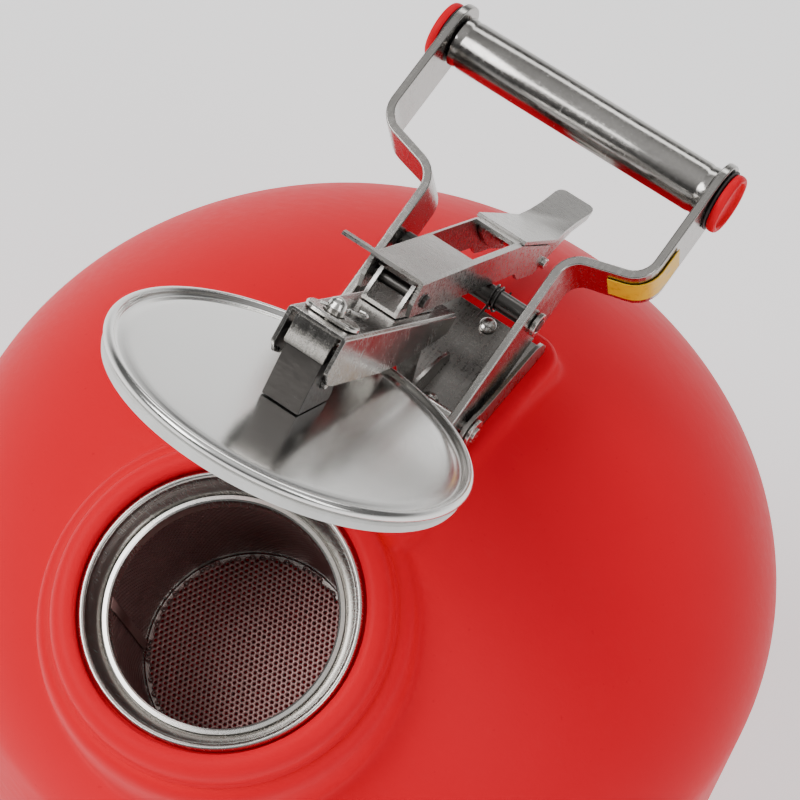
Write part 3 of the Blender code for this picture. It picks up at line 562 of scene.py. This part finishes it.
def make_grip():
    """Grip tube with crimped ends, red end caps and black washers, whose black is partly painted shade of the
    gap beside the caps.
    """
    here = Matrix.Translation(point(0.0, GRIP[0], GRIP[1])) @ ACROSS
    half = [(7.9, 51.4), (8.8, 51.4), (9.2, 51.0), (9.2, 49.2), (8.95, 48.5), (9.0, 47.7), (9.2, 47.1),
            (9.2, 20.0)]
    outer = half + [(9.2, 0.0)] + [(r, -x) for r, x in reversed(half)]
    add_object(spin(outer, 96), "grip_tube_fine", STEEL_GRIP, "bail", ("grip_tube",), here)
    for tag, side in (("left", -1.0), ("right", 1.0)):
        place = Matrix.Translation(point(0.0, GRIP[0], GRIP[1]))
        place = place @ Matrix.Rotation(math.radians(90.0 * side), 4, "Y")
        dish = [(0.0, 57.9), (6.0, 57.9), (7.9, 58.0), (8.4, 58.3), (8.7, 59.1), (9.1, 59.55), (9.8, 59.7),
                (10.4, 59.4), (10.8, 58.6), (10.9, 57.5), (10.6, 56.6)]
        cap = smooth_row(dish, 3) + [(0.0, 56.5)]
        fine_turned("grip_cap_fine_" + tag, cap, place, RED_CAP, "grip_cap_" + tag, 96, False)
        # The washer's black is partly painted shade of the gap between the cap and the bail arm's eye.
        washer = [(4.35, 55.35), (11.0, 55.35), (11.3, 55.55), (11.3, 55.95), (11.0, 56.15), (4.35, 56.15)]
        fine_turned("grip_washer_fine_" + tag, washer, place, WASHER_BLACK_AND_GAP_SHADE, "grip_washer_" + tag, 96)


def make_rest():
    """Every other node: rejoined flats, rounded edges and its own steel."""
    looks = (
        (("cap_arm", "pivot_yoke", "inner_channel"), STEEL_X, 0.45),
        (("latch_lever", "thumb_lever"), STEEL_LEVER, 0.40),
        (("bail_arm_left", "bail_arm_right"), STEEL_X, 0.55),
        (("base_bracket",), STEEL_DARK, 0.45),
        (("lid_bracket",), STEEL_FOOT, 0.6),
        (("pivot_pin", "pivot_clip_left", "pivot_clip_right", "thumb_pin", "lid_pin", "shaft_nut_left",
          "shaft_nut_right", "stud_washer", "gasket_nut", "cap_stud", "rivet_front_left", "rivet_front_right",
          "rivet_rear_left", "rivet_rear_right"), STEEL_BOLT, 0.3),
        (("cross_shaft", "shaft_roller", "grip_rod", "lever_pin"), STEEL_BLACK, 0.3),
    )
    for names, material, width in looks:
        for node in names:
            refine(node, material, width)
    wires = (("cotter_pin", STEEL_BOLT), ("relief_spring", STEEL_BOLT), ("torsion_spring", STEEL_BLACK))
    for node, material in wires:
        refine(node, material, 0.02, 1)
    refine("label_plate", YELLOW, 0.12)


# ---------------------------------------------------------------- stage

def make_stage():
    """Pale floor, soft studio light and the camera."""
    bm = bmesh.new()
    bmesh.ops.create_grid(bm, x_segments=1, y_segments=1, size=6.0)
    mesh = bpy.data.meshes.new("floor")
    bm.to_mesh(mesh)
    bm.free()
    floor = bpy.data.objects.new("floor", mesh)
    floor.location = (0.0, 0.0, -0.0005)
    bpy.context.scene.collection.objects.link(floor)
    material = bpy.data.materials.new("floor_white")
    material.use_nodes = True
    shader = material.node_tree.nodes["Principled BSDF"]
    shader.inputs["Base Color"].default_value = (0.92, 0.92, 0.92, 1.0)
    shader.inputs["Roughness"].default_value = 0.9
    shader.inputs["Emission Color"].default_value = (1.0, 1.0, 1.0, 1.0)
    shader.inputs["Emission Strength"].default_value = 0.6
    mesh.materials.append(material)
    world = bpy.data.worlds.new("studio")
    bpy.context.scene.world = world
    world.use_nodes = True
    tree = world.node_tree
    back = tree.nodes["Background"]
    coords = tree.nodes.new("ShaderNodeTexCoord")
    split = tree.nodes.new("ShaderNodeSeparateXYZ")
    ramp = tree.nodes.new("ShaderNodeValToRGB")
    remap = tree.nodes.new("ShaderNodeMapRange")
    remap.inputs["From Min"].default_value = -1.0
    remap.inputs["From Max"].default_value = 1.0
    stops = [(0.0, 0.8), (0.50, 0.72), (0.53, 0.68), (0.60, 0.07), (0.76, 0.12), (0.90, 0.45), (1.0, 0.75)]
    while len(ramp.color_ramp.elements) < len(stops):
        ramp.color_ramp.elements.new(0.5)
    for element, (place, value) in zip(ramp.color_ramp.elements, stops):
        element.position = place
        element.color = (value, value, value, 1.0)
    tree.links.new(coords.outputs["Generated"], split.inputs["Vector"])
    tree.links.new(split.outputs["Z"], remap.inputs["Value"])
    tree.links.new(remap.outputs["Result"], ramp.inputs["Fac"])
    tree.links.new(ramp.outputs["Color"], back.inputs["Color"])
    back.inputs["Strength"].default_value = 1.0
    lamps = (("key", (-1.3, -1.0, 2.2), (1.5, 1.1), 42.0), ("fill", (1.6, -0.6, 1.7), (0.5, 1.6), 12.0),
             ("rear", (-0.5, 1.9, 1.6), (1.8, 0.6), 14.0))
    for name, spot, size, power in lamps:
        data = bpy.data.lights.new(name, "AREA")
        data.shape = "RECTANGLE"
        data.size = size[0]
        data.size_y = size[1]
        data.energy = power
        lamp = bpy.data.objects.new(name, data)
        aim = Vector((0.0, 0.0, 0.3)) - Vector(spot)
        lamp.matrix_world = Matrix.Translation(spot) @ aim.to_track_quat("-Z", "Y").to_matrix().to_4x4()
        bpy.context.scene.collection.objects.link(lamp)
    data = bpy.data.cameras.new("camera")
    data.sensor_width = 36.0
    data.lens = 140.1
    data.clip_start = 0.05
    data.clip_end = 30.0
    camera = bpy.data.objects.new("camera", data)
    right = Vector((0.81342, 0.57257, 0.10251))
    up = Vector((-0.53012, 0.65718, 0.53580))
    back_way = Vector((0.23942, -0.49018, 0.83810))
    turn = Matrix((right, up, back_way)).transposed().to_4x4()
    camera.matrix_world = Matrix.Translation((0.25445, -0.51263, 1.19041)) @ turn
    bpy.context.scene.collection.objects.link(camera)
    bpy.context.scene.camera = camera


make_can()
make_neck()
make_lid()
make_grip()
make_rest()
make_stage()
